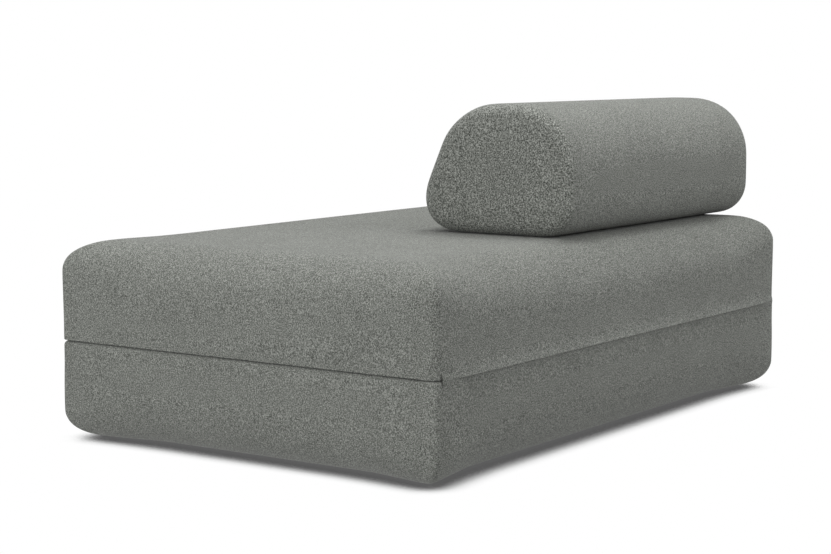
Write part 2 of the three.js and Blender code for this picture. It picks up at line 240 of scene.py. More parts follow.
def setStudio():
    scene = bpy.context.scene
    scene.view_settings.view_transform = "Standard"
    world = bpy.data.worlds.new("studioDome")
    world.use_nodes = True
    nodes, links = world.node_tree.nodes, world.node_tree.links
    nodes.clear()
    skies = []
    for level in (studio["domeStrength"], studio["backdropStrength"]):
        sky = nodes.new("ShaderNodeBackground")
        sky.inputs["Color"].default_value = (1.0, 1.0, 1.0, 1.0)
        sky.inputs["Strength"].default_value = level
        skies.append(sky)
    both = nodes.new("ShaderNodeMixShader")
    links.new(nodes.new("ShaderNodeLightPath").outputs["Is Camera Ray"], both.inputs["Fac"])
    links.new(skies[0].outputs["Background"], both.inputs[1])
    links.new(skies[1].outputs["Background"], both.inputs[2])
    links.new(both.outputs["Shader"], nodes.new("ShaderNodeOutputWorld").inputs["Surface"])
    scene.world = world
    clearPick()
    bpy.ops.mesh.primitive_plane_add(size=studio["floorSize"], location=(0, 0, -studio["floorDrop"]))
    floor = bpy.context.object
    floor.name = "studioFloor"
    paint = bpy.data.materials.new("paleFloorPaintedShadow")
    paint.use_nodes = True
    nodes, links = paint.node_tree.nodes, paint.node_tree.links
    nodes.clear()
    out = nodes.new("ShaderNodeOutputMaterial")
    glow = nodes.new("ShaderNodeEmission")
    # painted contact shadow: an occlusion ramp darkens the floor's glow next to the cushions
    shade = nodes.new("ShaderNodeAmbientOcclusion")
    shade.inputs["Distance"].default_value = studio["shadowReach"]
    shade.samples = 8
    ramp = nodes.new("ShaderNodeValToRGB")
    table = ramp.color_ramp.elements
    while len(table) < len(studio["shadowStops"]):
        table.new(0.5)
    for element, (spot, level) in zip(table, studio["shadowStops"]):
        element.position = spot
        element.color = (level, level, level, 1.0)
    glow.inputs["Strength"].default_value = studio["floorGlow"]
    links.new(shade.outputs["AO"], ramp.inputs["Fac"])
    bounce = nodes.new("ShaderNodeEmission")
    bounce.inputs["Strength"].default_value = studio["floorBounce"]
    direct = nodes.new("ShaderNodeLightPath").outputs["Is Camera Ray"]
    both = nodes.new("ShaderNodeMixShader")
    links.new(ramp.outputs["Color"], glow.inputs["Color"])
    links.new(direct, both.inputs["Fac"])
    links.new(bounce.outputs["Emission"], both.inputs[1])
    links.new(glow.outputs["Emission"], both.inputs[2])
    links.new(both.outputs["Shader"], out.inputs["Surface"])
    finishWith(floor, paint)
    for name, settings in lights.items():
        areaLight(name, settings)


setCamera()
setStudio()
print("studio set")


tweed = {
    "dark": (0.048, 0.051, 0.045),
    "middle": (0.137, 0.143, 0.130),
    "light": (0.285, 0.293, 0.272),
    "nubScale": 380.0,
    "fleckScale": 620.0,
    "bump": 0.55,
    "bumpDepth": 0.0016,
    "mottleScale": 75.0,
    "mottle": 0.055,            # how far the tone drifts over a hand's or a thumb's breadth
}


def bareMaterial(name):
    material = bpy.data.materials.new(name)
    material.use_nodes = True
    nodes, links = material.node_tree.nodes, material.node_tree.links
    nodes.clear()
    out = nodes.new("ShaderNodeOutputMaterial")
    shader = nodes.new("ShaderNodeBsdfPrincipled")
    links.new(shader.outputs["BSDF"], out.inputs["Surface"])
    return material, nodes, links, shader


def noiseAt(nodes, links, coords, scale, detail=2.0, rough=0.5, stretch=(1, 1, 1)):
    place = nodes.new("ShaderNodeMapping")
    place.inputs["Scale"].default_value = stretch
    links.new(coords, place.inputs["Vector"])
    noise = nodes.new("ShaderNodeTexNoise")
    noise.inputs["Scale"].default_value = scale
    noise.inputs["Detail"].default_value = detail
    noise.inputs["Roughness"].default_value = rough
    links.new(place.outputs["Vector"], noise.inputs["Vector"])
    return noise.outputs["Fac"]


def rampOf(nodes, links, value, stops):
    ramp = nodes.new("ShaderNodeValToRGB")
    table = ramp.color_ramp.elements
    while len(table) < len(stops):
        table.new(0.5)
    for element, (spot, colour) in zip(table, stops):
        element.position = spot
        element.color = (*colour, 1.0)
    links.new(value, ramp.inputs["Fac"])
    return ramp.outputs["Color"]


def mathOf(nodes, links, kind, a, b):
    node = nodes.new("ShaderNodeMath")
    node.operation = kind
    for socket, value in zip(node.inputs, (a, b)):
        if isinstance(value, (int, float)):
            socket.default_value = value
        else:
            links.new(value, socket)
    return node.outputs["Value"]


def tweedCloth(name, shade=1.0, nubScale=None, contrast=1.0):
    material, nodes, links, shader = bareMaterial(name)
    coords = nodes.new("ShaderNodeTexCoord").outputs["Object"]
    scale = nubScale or tweed["nubScale"]
    nubs = noiseAt(nodes, links, coords, scale, detail=1.0)
    flecks = noiseAt(nodes, links, coords, tweed["fleckScale"], detail=0.0)
    patches = noiseAt(nodes, links, coords, 9.0, detail=3.0)
    mottles = noiseAt(nodes, links, coords, tweed["mottleScale"], detail=1.0)
    drift = mathOf(nodes, links, "ADD", patches, mottles)
    mixed = mathOf(nodes, links, "MULTIPLY_ADD", nubs, 0.62)
    mixed.node.inputs[2].default_value = 0.19
    fine = mathOf(nodes, links, "MULTIPLY_ADD", flecks, 0.38)
    fine.node.inputs[2].default_value = -0.19
    weave = mathOf(nodes, links, "ADD", mixed, fine)
    tone = [tuple(m + (c - m) * contrast for c, m in zip(tweed[key], tweed["middle"]))
            for key in ("dark", "middle", "light")]
    tone = [tuple(c * shade for c in colour) for colour in tone]
    colour = rampOf(nodes, links, weave, [(0.34, tone[0]), (0.5, tone[1]), (0.67, tone[2])])
    darker, lighter = (1 - tweed["mottle"],) * 3, (1 + tweed["mottle"],) * 3
    halfDrift = mathOf(nodes, links, "MULTIPLY", drift, 0.5)
    broad = rampOf(nodes, links, halfDrift, [(0.38, darker), (0.62, lighter)])
    blend = nodes.new("ShaderNodeMix")
    blend.data_type = "RGBA"
    blend.blend_type = "MULTIPLY"
    blend.inputs["Factor"].default_value = 1.0
    links.new(colour, blend.inputs[6])
    links.new(broad, blend.inputs[7])
    links.new(blend.outputs[2], shader.inputs["Base Color"])
    shader.inputs["Roughness"].default_value = 0.95
    shader.inputs["Specular IOR Level"].default_value = 0.15
    shader.inputs["Sheen Weight"].default_value = 0.08
    shader.inputs["Sheen Roughness"].default_value = 0.5
    bump = nodes.new("ShaderNodeBump")
    bump.inputs["Strength"].default_value = tweed["bump"]
    bump.inputs["Distance"].default_value = tweed["bumpDepth"]
    links.new(weave, bump.inputs["Height"])
    links.new(bump.outputs["Normal"], shader.inputs["Normal"])
    return material


foam = {"firm": (0.70, 0.62, 0.38), "soft": (0.48, 0.60, 0.68), "cellScale": 900.0}


def foamBlock(name, colour):
    material, nodes, links, shader = bareMaterial(name)
    coords = nodes.new("ShaderNodeTexCoord").outputs["Object"]
    cells = nodes.new("ShaderNodeTexVoronoi")
    cells.inputs["Scale"].default_value = foam["cellScale"]
    links.new(coords, cells.inputs["Vector"])
    pale = tuple(min(1.0, c * 1.12) for c in colour)
    dark = tuple(c * 0.72 for c in colour)
    links.new(rampOf(nodes, links, cells.outputs["Distance"], [(0.1, dark), (0.5, colour), (0.9, pale)]),
              shader.inputs["Base Color"])
    shader.inputs["Roughness"].default_value = 0.9
    shader.inputs["Subsurface Weight"].default_value = 0.1
    addBump(nodes, links, shader, cells.outputs["Distance"], 0.5, 0.0006)
    return material


def addBump(nodes, links, shader, height, strength, distance):
    bump = nodes.new("ShaderNodeBump")
    bump.inputs["Strength"].default_value = strength
    bump.inputs["Distance"].default_value = distance
    links.new(height, bump.inputs["Height"])
    links.new(bump.outputs["Normal"], shader.inputs["Normal"])


def waddingFleece():
    material, nodes, links, shader = bareMaterial("whiteWadding")
    coords = nodes.new("ShaderNodeTexCoord").outputs["Object"]
    tufts = noiseAt(nodes, links, coords, 60.0, detail=6.0, rough=0.7)
    fibres = noiseAt(nodes, links, coords, 260.0, detail=3.0, stretch=(1, 0.25, 1))
    fluff = mathOf(nodes, links, "ADD", tufts, fibres)
    links.new(rampOf(nodes, links, fluff, [(0.35, (0.72, 0.72, 0.70)), (0.65, (0.90, 0.90, 0.89))]),
              shader.inputs["Base Color"])
    shader.inputs["Roughness"].default_value = 1.0
    shader.inputs["Sheen Weight"].default_value = 0.3
    addBump(nodes, links, shader, fluff, 0.7, 0.003)
    return material


def gripCloth():
    # dark backing cloth with rows of raised rubber dots
    material, nodes, links, shader = bareMaterial("gripDots")
    coords = nodes.new("ShaderNodeTexCoord").outputs["Object"]
    dots = nodes.new("ShaderNodeTexVoronoi")
    dots.voronoi_dimensions = "2D"
    dots.inputs["Scale"].default_value = 110.0
    dots.inputs["Randomness"].default_value = 0.0
    links.new(coords, dots.inputs["Vector"])
    spot = rampOf(nodes, links, dots.outputs["Distance"], [(0.26, (1, 1, 1)), (0.34, (0, 0, 0))])
    links.new(rampOf(nodes, links, spot, [(0.0, (0.030, 0.031, 0.031)), (1.0, (0.012, 0.012, 0.012))]),
              shader.inputs["Base Color"])
    links.new(rampOf(nodes, links, spot, [(0.0, (0.9, 0.9, 0.9)), (1.0, (0.45, 0.45, 0.45))]),
              shader.inputs["Roughness"])
    threads = noiseAt(nodes, links, coords, 800.0)
    height = mathOf(nodes, links, "MULTIPLY_ADD", spot, 0.8)
    links.new(threads, height.node.inputs[2])
    addBump(nodes, links, shader, height, 0.6, 0.0006)
    return material


def ribbedTape():
    # herringbone ribs across a zip's tape
    material, nodes, links, shader = bareMaterial("zipRibbing")
    coords = nodes.new("ShaderNodeTexCoord").outputs["Object"]
    ribs = nodes.new("ShaderNodeTexWave")
    ribs.bands_direction = "Y"
    ribs.inputs["Scale"].default_value = 420.0
    ribs.inputs["Distortion"].default_value = 1.0
    links.new(coords, ribs.inputs["Vector"])
    links.new(rampOf(nodes, links, ribs.outputs["Fac"],
                     [(0.2, (0.060, 0.063, 0.058)), (0.8, (0.105, 0.110, 0.102))]),
              shader.inputs["Base Color"])
    shader.inputs["Roughness"].default_value = 0.8
    shader.inputs["Sheen Weight"].default_value = 0.1
    addBump(nodes, links, shader, ribs.outputs["Fac"], 0.6, 0.0002)
    return material


def coilNylon():
    material, nodes, links, shader = bareMaterial("zipCoilNylon")
    coords = nodes.new("ShaderNodeTexCoord").outputs["Object"]
    tint = noiseAt(nodes, links, coords, 500.0)
    links.new(rampOf(nodes, links, tint, [(0.3, (0.050, 0.052, 0.049)), (0.7, (0.075, 0.078, 0.073))]),
              shader.inputs["Base Color"])
    shader.inputs["Roughness"].default_value = 0.42
    return material


def zipMetal():
    # gunmetal plating with fine tumbling marks, paler where it is handled
    material, nodes, links, shader = bareMaterial("zipGunmetal")
    coords = nodes.new("ShaderNodeTexCoord").outputs["Object"]
    marks = noiseAt(nodes, links, coords, 1400.0, detail=4.0)
    wear = noiseAt(nodes, links, coords, 180.0, detail=2.0)
    links.new(rampOf(nodes, links, wear, [(0.4, (0.24, 0.24, 0.235)), (0.7, (0.38, 0.38, 0.37))]),
              shader.inputs["Base Color"])
    shader.inputs["Metallic"].default_value = 1.0
    links.new(rampOf(nodes, links, marks, [(0.3, (0.28, 0.28, 0.28)), (0.7, (0.44, 0.44, 0.44))]),
              shader.inputs["Roughness"])
    addBump(nodes, links, shader, marks, 0.15, 0.0001)
    return material


def sewingThread():
    material, nodes, links, shader = bareMaterial("sewingThread")
    coords = nodes.new("ShaderNodeTexCoord").outputs["Object"]
    twist = noiseAt(nodes, links, coords, 2600.0, stretch=(1, 0.4, 1))
    links.new(rampOf(nodes, links, twist, [(0.3, (0.10, 0.105, 0.096)), (0.7, (0.20, 0.205, 0.19))]),
              shader.inputs["Base Color"])
    shader.inputs["Roughness"].default_value = 0.6
    shader.inputs["Sheen Weight"].default_value = 0.15
    addBump(nodes, links, shader, twist, 0.4, 0.0002)
    return material


coverCloth = tweedCloth("greyTweed")
endCloth = tweedCloth("greyTweedEnds", shade=1.03, nubScale=300.0, contrast=1.25)
sleepCloth = tweedCloth("greyTweedSleep", shade=1.06, nubScale=420.0, contrast=0.8)
firmFoam = foamBlock("firmFoam", foam["firm"])
softFoam = foamBlock("softFoam", foam["soft"])
fleece = waddingFleece()
rubberDots = gripCloth()
tapeRibs = ribbedTape()
coilPlastic = coilNylon()
gunmetal = zipMetal()
thread = sewingThread()
print("finishes made")


slab = {
    "outerRadius": 0.118,
    "outerSteps": 12,
    "upperMatingRadius": 0.0016,
    "lowerMatingRadius": 0.0060,
    "matingSteps": 3,
    "uprightRadius": 0.016,
    "uprightSteps": 4,
    "gridPitch": 0.028,
    "cornerShare": 0.56,        # roll at a corner, as a share of the roll along the sides
    "cornerReach": 0.24,        # the roll grows to its full size over this length
    "cornerBlend": 0.032,       # upright face below the roll that stretches to suit
    "cornerBlendFlat": 0.005,
    "cornerEase": 0.004,
    "undersize": 0.0018,        # room that the stuffing takes up
    "zipSideUndersize": 0.0006,
    "topUndersize": 0.0022,
    "sidePuff": 0.0042,
    "topPuff": 0.0018,
    "rimCuts": (0.007, 0.011, 0.016, 0.022, 0.030),
    "hingeSideUndersize": 0.0032,
    "lip": 0.0086,              # how far the hinge edge of the upper slab stands out
    "lipFade": 0.0125,
    "lipDroop": 0.0018,
    "lipEnds": 0.07,            # it dies away over this length at both ends
    "rimTuck": 0.0036,          # how far the lower slab's top edge draws in
    "rimTuckDepth": 0.012,
    "panelSink": 0.0016,
    "basePanelSink": 0.0021,
    "slotSink": 0.0030,
    "seamWidth": 0.0024,
    "seamDepth": 0.0009,
    "heldByMate": 0.004,        # cloth this close to a sewn part stays put as the cover fills
    "heldByBase": 0.003,
    "heldByZip": 0.02,
    "heldByHinge": 0.05,
    "rimBand": 0.02,
    "lipBand": 0.006,
}


def slabForm(name, low, high, outerSign, outer, mating, upright):
    # box with rolled outer edges, mitred corners and softened upright corners; ends in edit mode
    mateZ, outerZ = (low.z, high.z) if outerSign > 0 else (high.z, low.z)
    piece = cubeBetween(name, low, high)

    def onMitre(spot):
        fromSide = min(high.x - spot.x, spot.x - low.x)
        fromFront = min(high.y - spot.y, spot.y - low.y)
        return near(fromSide, fromFront, 0.0005)

    makeActive(piece)
    bpy.ops.object.mode_set(mode="EDIT")
    for level, (radius, steps) in ((outerZ, outer), (mateZ, mating)):
        pickEdges(piece, lambda a, b: near(a.z, level) and near(b.z, level))
        bpy.ops.mesh.bevel(offset=radius, segments=steps, affect="EDGES")
    pickEdges(piece, lambda a, b: onMitre(a) and onMitre(b) and not near(a.z, b.z, 1e-5))
    bpy.ops.mesh.bevel(offset=upright[0], segments=upright[1], affect="EDGES", clamp_overlap=False)
    return piece


def filledCorners(piece, low, high, outerZ):
    # object mode: draws the rolls tighter towards the corners, where the cover is cut fuller
    radius = slab["outerRadius"]

    def drawn(away, share, blend, pad=0.0):
        # the first stretch eases in, so that the upright corner keeps its rounding
        if away > radius + blend:
            return away
        if away < 2 * pad:
            return away - (1 - share) * away * away / (4 * pad)
        if away < radius:
            return away - (1 - share) * (away - pad)
        reach = radius - (1 - share) * (radius - pad)
        return reach + (away - radius) * (radius + blend - reach) / blend

    for vertex in piece.data.vertices:
        spot = vertex.co
        rise = abs(outerZ - spot.z)
        if rise > radius + slab["cornerBlend"]:
            continue
        fromSide = min(high.x - spot.x, spot.x - low.x)
        fromFront = min(high.y - spot.y, spot.y - low.y)
        along = min(1.0, max(fromSide, fromFront) / slab["cornerReach"])
        share = slab["cornerShare"] + (1 - slab["cornerShare"]) * along * along * (3 - 2 * along)
        blend, pad = slab["cornerBlendFlat"], slab["cornerEase"]
        spot.x += math.copysign(fromSide - drawn(fromSide, share, blend, pad), spot.x)
        spot.y += math.copysign(fromFront - drawn(fromFront, share, blend, pad), spot.y)
        spot.z += math.copysign(rise - drawn(rise, share, slab["cornerBlend"]), outerZ - spot.z)


def markCornerSeams(piece, low, high):
    # the bevelled strips are still picked: each corner is sewn where the side panel wraps round it
    work = bmesh.from_edit_mesh(piece.data)
    for edge in work.edges:
        flat = [face for face in edge.link_faces if not face.select]
        if len(edge.link_faces) == 2 and len(flat) == 1:
            middle = flat[0].calc_center_median()
            fromSide = min(high.x - middle.x, middle.x - low.x)
            fromFront = min(high.y - middle.y, middle.y - low.y)
            edge.seam = fromSide < fromFront
    bmesh.update_edit_mesh(piece.data)


def softCap(move, cap):
    return move * cap / (cap + abs(move))


def puffed(piece, held, sideCap, topCap):
    # cloth under a little pressure, with every point kept near its place
    start = [vertex.co.copy() for vertex in piece.data.vertices]
    outward = [vertex.normal.copy() for vertex in piece.data.vertices]
    group = piece.vertex_groups.new(name="held")
    group.add([v.index for v in piece.data.vertices if held(v.co)], 1.0, "REPLACE")
    makeActive(piece)
    bpy.ops.object.modifier_add(type="CLOTH")
    cloth = piece.modifiers[-1]
    cloth.settings.quality = 5
    cloth.settings.mass = 0.4
    cloth.settings.tension_stiffness = 40.0
    cloth.settings.compression_stiffness = 40.0
    cloth.settings.shear_stiffness = 20.0
    cloth.settings.bending_stiffness = 6.0
    cloth.settings.use_pressure = True
    cloth.settings.uniform_pressure_force = 4.0
    cloth.settings.vertex_group_mass = "held"
    cloth.settings.effector_weights.gravity = 0.0
    cloth.collision_settings.use_collision = False
    cloth.collision_settings.use_self_collision = False
    cloth.point_cache.frame_start = 1
    cloth.point_cache.frame_end = 20
    for step in range(1, 21):
        bpy.context.scene.frame_set(step)
    bpy.ops.object.modifier_apply(modifier=cloth.name)
    bpy.context.scene.frame_set(1)
    furthest = 0.0
    for vertex, place, normal in zip(piece.data.vertices, start, outward):
        move = vertex.co - place
        furthest = max(furthest, move.length)
        move -= normal * min(0.0, move.dot(normal))  # the stuffing never lets it sink in
        vertex.co = place + Vector((softCap(move.x, sideCap), softCap(move.y, sideCap),
                                    softCap(move.z, topCap)))
    piece.vertex_groups.clear()
    print("puffed", piece.name, "by up to", round(furthest * 1000, 1), "mm before the cap")


def sewSeams(piece, width, depth):
    # each marked seam becomes a narrow groove
    makeActive(piece)
    bpy.ops.object.mode_set(mode="EDIT")
    bpy.ops.mesh.select_mode(type="EDGE")
    bpy.ops.mesh.select_all(action="DESELECT")
    work = bmesh.from_edit_mesh(piece.data)
    for edge in work.edges:
        edge.select_set(edge.seam)
    bmesh.update_edit_mesh(piece.data)
    bpy.ops.mesh.bevel(offset=width, segments=2, affect="EDGES")
    work = bmesh.from_edit_mesh(piece.data)
    work.normal_update()
    valley = [v for v in work.verts if v.link_faces and all(face.select for face in v.link_faces)]
    moves = [v.normal * -depth for v in valley]
    for vertex, move in zip(valley, moves):
        vertex.co += move
    bmesh.update_edit_mesh(piece.data)
    bpy.ops.object.mode_set(mode="OBJECT")


def slabCushion(name, prefix, outerSign):
    low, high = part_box(prefix + "_cover")
    tapeLow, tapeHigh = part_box(prefix + "_zip_tape")
    panelLow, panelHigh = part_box(prefix + "_sleep_panel")
    low = low + Vector((slab["zipSideUndersize"], slab["undersize"], 0))
    high = high - Vector((slab["undersize"], slab["undersize"], 0))
    if outerSign > 0:
        high.z -= slab["topUndersize"]
        high.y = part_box(prefix + "_cover")[1].y - slab["hingeSideUndersize"]
    mateZ, outerZ = (low.z, high.z) if outerSign > 0 else (high.z, low.z)
    piece = slabForm(name, low, high, outerSign, (slab["outerRadius"], slab["outerSteps"]),
                     (slab[prefix + "MatingRadius"], slab["matingSteps"]),
                     (slab["uprightRadius"], slab["uprightSteps"]))
    markCornerSeams(piece, low, high)
    flatX, flatY = high.x - slab["outerRadius"], high.y - slab["outerRadius"]
    cutLines(piece, 0, evenSteps(-flatX, flatX, slab["gridPitch"]))
    cutLines(piece, 1, evenSteps(-flatY, flatY, slab["gridPitch"]))
    rimZ = mateZ + outerSign * slab["rimCuts"][-1]
    cutLines(piece, 2, [mateZ + outerSign * cut for cut in slab["rimCuts"]])
    rollZ = outerZ - outerSign * slab["outerRadius"]
    cutLines(piece, 2, evenSteps(min(rimZ, rollZ), max(rimZ, rollZ), slab["gridPitch"]))
    recess(piece, 0, low.x, tapeLow - recessEase["slot"], tapeHigh + recessEase["slot"],
           slab["slotSink"])
    recess(piece, 2, mateZ, panelLow - recessEase["panel"], panelHigh + recessEase["panel"],
           outerSign * slab["panelSink"])
    if outerSign < 0:
        baseLow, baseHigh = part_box(prefix + "_base_panel")
        recess(piece, 2, outerZ, baseLow - recessEase["panel"], baseHigh + recessEase["panel"],
               slab["basePanelSink"])
    bpy.ops.mesh.select_all(action="SELECT")
    bpy.ops.mesh.normals_make_consistent(inside=False)
    bpy.ops.object.mode_set(mode="OBJECT")
    filledCorners(piece, low, high, outerZ)

    def held(spot):
        nearMate = abs(spot.z - mateZ) < slab["heldByMate"]
        nearBase = outerSign < 0 and abs(spot.z - outerZ) < slab["heldByBase"]
        around = slab["heldByZip"]
        byZip = (spot.x < low.x + slab["heldByMate"] and abs(spot.y) < tapeHigh.y + around
                 and tapeLow.z - around < spot.z < tapeHigh.z + around)
        byHinge = spot.y > high.y - 0.002 and abs(spot.z - mateZ) < slab["heldByHinge"]
        return nearMate or nearBase or byZip or byHinge

    puffed(piece, held, slab["sidePuff"], slab["topPuff"])
    applied(piece, "SUBSURF", levels=1, render_levels=1)
    sewSeams(piece, slab["seamWidth"], slab["seamDepth"])
    for vertex in piece.data.vertices:
        spot = vertex.co
        rise = abs(spot.z - mateZ)
        if outerSign > 0 and spot.y > high.y - slab["lipBand"]:
            ends = min(1.0, max(0.0, (high.x - 0.012 - abs(spot.x)) / slab["lipEnds"]))
            fade = math.exp(-max(0.0, rise - 0.001) / slab["lipFade"])
            reach = fade * ends * ends * (3 - 2 * ends)
            spot.y += slab["lip"] * reach
            if spot.y > high.y + 0.001:
                spot.z -= slab["lipDroop"] * reach ** 3
        if outerSign < 0 and rise < slab["rimTuckDepth"]:
            tuck = slab["rimTuck"] * (1 - rise / slab["rimTuckDepth"]) ** 2
            fromHinge = high.y - spot.y - slab["uprightRadius"]
            tuck *= min(1.0, max(0.0, fromHinge / slab["lipEnds"]))
            if abs(spot.x) > high.x - slab["rimBand"]:
                spot.x -= math.copysign(tuck, spot.x)
            if spot.y < low.y + slab["rimBand"]:
                spot.y += tuck
        if outerSign < 0:
            spot.z = max(spot.z, 0.0)
    makeActive(piece)
    bpy.ops.object.shade_smooth_by_angle(angle=math.radians(50))
    finishWith(piece, coverCloth)
    return piece


seatCushion = slabCushion("seatCushion", "upper", 1)
settle(seatCushion, "upper_section", "cover_cloth", "upper_cover", fill=0.9)
baseCushion = slabCushion("baseCushion", "lower", -1)
settle(baseCushion, "lower_section", "cover_cloth", "lower_cover", fill=0.9)
print("slab cushions made:", len(seatCushion.data.vertices), len(baseCushion.data.vertices))

flatPanels = {"gridPitch": 0.03, "edge": 0.0007, "crown": 0.0002, "gripRadius": 0.012}


def thinPanel(name, node, cornerRadius, crownSign):
    # a sewn-in flat panel with a soft edge and the least crown
    low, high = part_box(node)
    piece = cubeBetween(name, low, high)
    bpy.ops.object.mode_set(mode="EDIT")
    pickEdges(piece, lambda a, b: abs(a.z - b.z) > 0.0005)
    bpy.ops.mesh.bevel(offset=cornerRadius, segments=4, affect="EDGES")
    pickEdges(piece, lambda a, b: near(a.z, b.z, 1e-5))
    bpy.ops.mesh.bevel(offset=flatPanels["edge"], segments=2, affect="EDGES")
    inner = cornerRadius + 0.004
    cutLines(piece, 0, evenSteps(low.x + inner, high.x - inner, flatPanels["gridPitch"]))
    cutLines(piece, 1, evenSteps(low.y + inner, high.y - inner, flatPanels["gridPitch"]))
    bpy.ops.object.mode_set(mode="OBJECT")
    middle = (low + high) / 2
    for vertex in piece.data.vertices:
        spot = vertex.co
        if (spot.z - middle.z) * crownSign > 0.0005:
            across = (1 - ((spot.x - middle.x) / (high.x - middle.x)) ** 4)
            along = (1 - ((spot.y - middle.y) / (high.y - middle.y)) ** 4)
            spot.z += crownSign * flatPanels["crown"] * max(0.0, across * along)
    makeActive(piece)
    bpy.ops.object.shade_smooth_by_angle(angle=math.radians(40))
    return piece


for prefix, crownSign in (("lower", 1), ("upper", -1)):
    panel = thinPanel(prefix + "SleepPanel", prefix + "_sleep_panel", 0.004, crownSign)
    finishWith(panel, sleepCloth)
    settle(panel, prefix + "_section", "sleep_cloth", prefix + "_sleep_panel", fill=0.3)
basePanel = thinPanel("gripPanel", "lower_base_panel", flatPanels["gripRadius"], 0)
finishWith(basePanel, rubberDots)
settle(basePanel, "lower_section", "grip_cloth", "lower_base_panel", fill=0.2)
print("flat panels made")

filling = {
    "fleeceEase": 0.0042,
    "fleeceLoft": 0.008,
    "edge": 0.0015,
    "foamOuter": 0.106,
    "foamMating": 0.005,
    "foamUpright": 0.006,
}


def fleeceTub(name, prefix, outerSign):
    low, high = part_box(prefix + "_wadding")
    mateZ = low.z if outerSign > 0 else high.z
    less = filling["fleeceEase"]
    low = low + Vector((less, less, 0 if outerSign > 0 else 0.0005))
    high = high - Vector((less, less, slab["topUndersize"] if outerSign > 0 else 0))
    radius = slab["outerRadius"] - 0.003
    piece = slabForm(name, low, high, outerSign, (radius, 8), (filling["edge"], 1), (0.014, 3))
    cutLines(piece, 0, evenSteps(low.x + radius, high.x - radius, 0.05))
    cutLines(piece, 1, evenSteps(low.y + radius, high.y - radius, 0.05))
    pickFaces(piece, lambda middle, normal: near(middle.z, mateZ, 0.002))
    bpy.ops.mesh.delete(type="FACE")
    bpy.ops.mesh.select_all(action="SELECT")
    bpy.ops.mesh.normals_make_consistent(inside=False)
    bpy.ops.object.mode_set(mode="OBJECT")
    filledCorners(piece, low, high, high.z if outerSign > 0 else low.z)
    applied(piece, "SOLIDIFY", thickness=filling["fleeceLoft"] - 0.001, offset=-1)
    makeActive(piece)
    bpy.ops.object.shade_smooth_by_angle(angle=math.radians(50))
    finishWith(piece, fleece)
    return piece


def foamPiece(name, node, outerSign, outer, mating, material):
    low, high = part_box(node)
    less = Vector((filling["fleeceEase"], filling["fleeceEase"], 0))
    piece = slabForm(name, low + less, high - less, outerSign, outer, mating, (filling["foamUpright"], 3))
    bpy.ops.mesh.select_all(action="SELECT")
    bpy.ops.mesh.normals_make_consistent(inside=False)
    bpy.ops.object.mode_set(mode="OBJECT")
    makeActive(piece)
    bpy.ops.object.shade_smooth_by_angle(angle=math.radians(40))
    finishWith(piece, material)
    return piece


for prefix, outerSign in (("lower", -1), ("upper", 1)):
    tub = fleeceTub(prefix + "Fleece", prefix, outerSign)
    settle(tub, prefix + "_section", "wadding", prefix + "_wadding", fill=0.7)
    core = foamPiece(prefix + "Core", prefix + "_core", outerSign, (filling["foamOuter"], 8),
                     (filling["edge"], 2), firmFoam)
    settle(core, prefix + "_section", "firm_foam", prefix + "_core", fill=1.0)
    layer = foamPiece(prefix + "ComfortLayer", prefix + "_comfort_layer", outerSign, (filling["edge"], 2),
                      (filling["foamMating"], 3), softFoam)
    settle(layer, prefix + "_section", "soft_foam", prefix + "_comfort_layer", fill=1.0)
print("slab fillings made")


hingeStrip = {
    "profile": ((0.4968, -0.0140), (0.4985, -0.0095), (0.4996, -0.0055), (0.5000, -0.0020),
                (0.5000, 0.0020), (0.4996, 0.0055), (0.4985, 0.0095), (0.4968, 0.0140)),
    "thickness": 0.0009,
    "pitch": 0.03,
}


def clothHinge():
    low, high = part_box("lower_hinge_leaf")
    foldZ = high.z
    steps = hingeStrip["profile"]
    startX, endX = low.x, high.x
    clearPick()
    corner = (startX, steps[0][0], foldZ + steps[0][1])
    bpy.ops.mesh.primitive_plane_add(size=0.01, location=corner)
    piece = bpy.context.object
    piece.name = "hingeCloth"
    piece.data.name = "hingeCloth"
    bpy.ops.object.mode_set(mode="EDIT")
    bpy.ops.mesh.select_mode(type="VERT")
    bpy.ops.mesh.select_all(action="SELECT")
    bpy.ops.mesh.merge(type="CENTER")
    for (y0, z0), (y1, z1) in zip(steps, steps[1:]):
        bpy.ops.mesh.extrude_region_move(TRANSFORM_OT_translate={"value": (0, y1 - y0, z1 - z0)})
    bpy.ops.mesh.select_mode(type="EDGE")
    bpy.ops.mesh.select_all(action="SELECT")
    count = round((endX - startX) / hingeStrip["pitch"])
    stride = (endX - startX) / count
    for step in range(count):
        bpy.ops.mesh.extrude_region_move(TRANSFORM_OT_translate={"value": (stride, 0, 0)})
    bpy.ops.mesh.select_all(action="SELECT")
    bpy.ops.mesh.normals_make_consistent(inside=False)
    bpy.ops.object.mode_set(mode="OBJECT")
    bpy.ops.object.transform_apply(location=True, rotation=True, scale=True)
    applied(piece, "SOLIDIFY", thickness=hingeStrip["thickness"], offset=0)
    makeActive(piece)
    bpy.ops.object.shade_smooth()
    finishWith(piece, coverCloth)
    return piece, foldZ


hingeCloth, foldZ = clothHinge()
settle(hingeCloth, None, "cover_cloth", "lower_hinge_leaf", "upper_hinge_leaf", fill=0.2)
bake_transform(hingeCloth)
print("cloth hinge made")


bolsterShape = {
    "footOvershoot": 0.0457,    # sharp foot corner ahead of the rounded front
    "frontLean": 0.128,
    "frontFoot": (0.135, 12),
    "backFoot": (0.079, 8),
    "backCrown": (0.140, 12),
    "frontCrown": (0.094, 8),
    "endRoll": (0.030, 5),
    "endRing": 0.02,
    "endGridBorder": (0.075, 0.07),
    "pitch": 0.026,
    "undersize": 0.0030,
    "sidePuff": 0.0034,
    "baseSink": 0.0021,
    "slotSink": 0.0030,
    "heldByZip": 0.015,
    "fleeceInset": 0.0065,
    "coreInset": 0.0145,
}


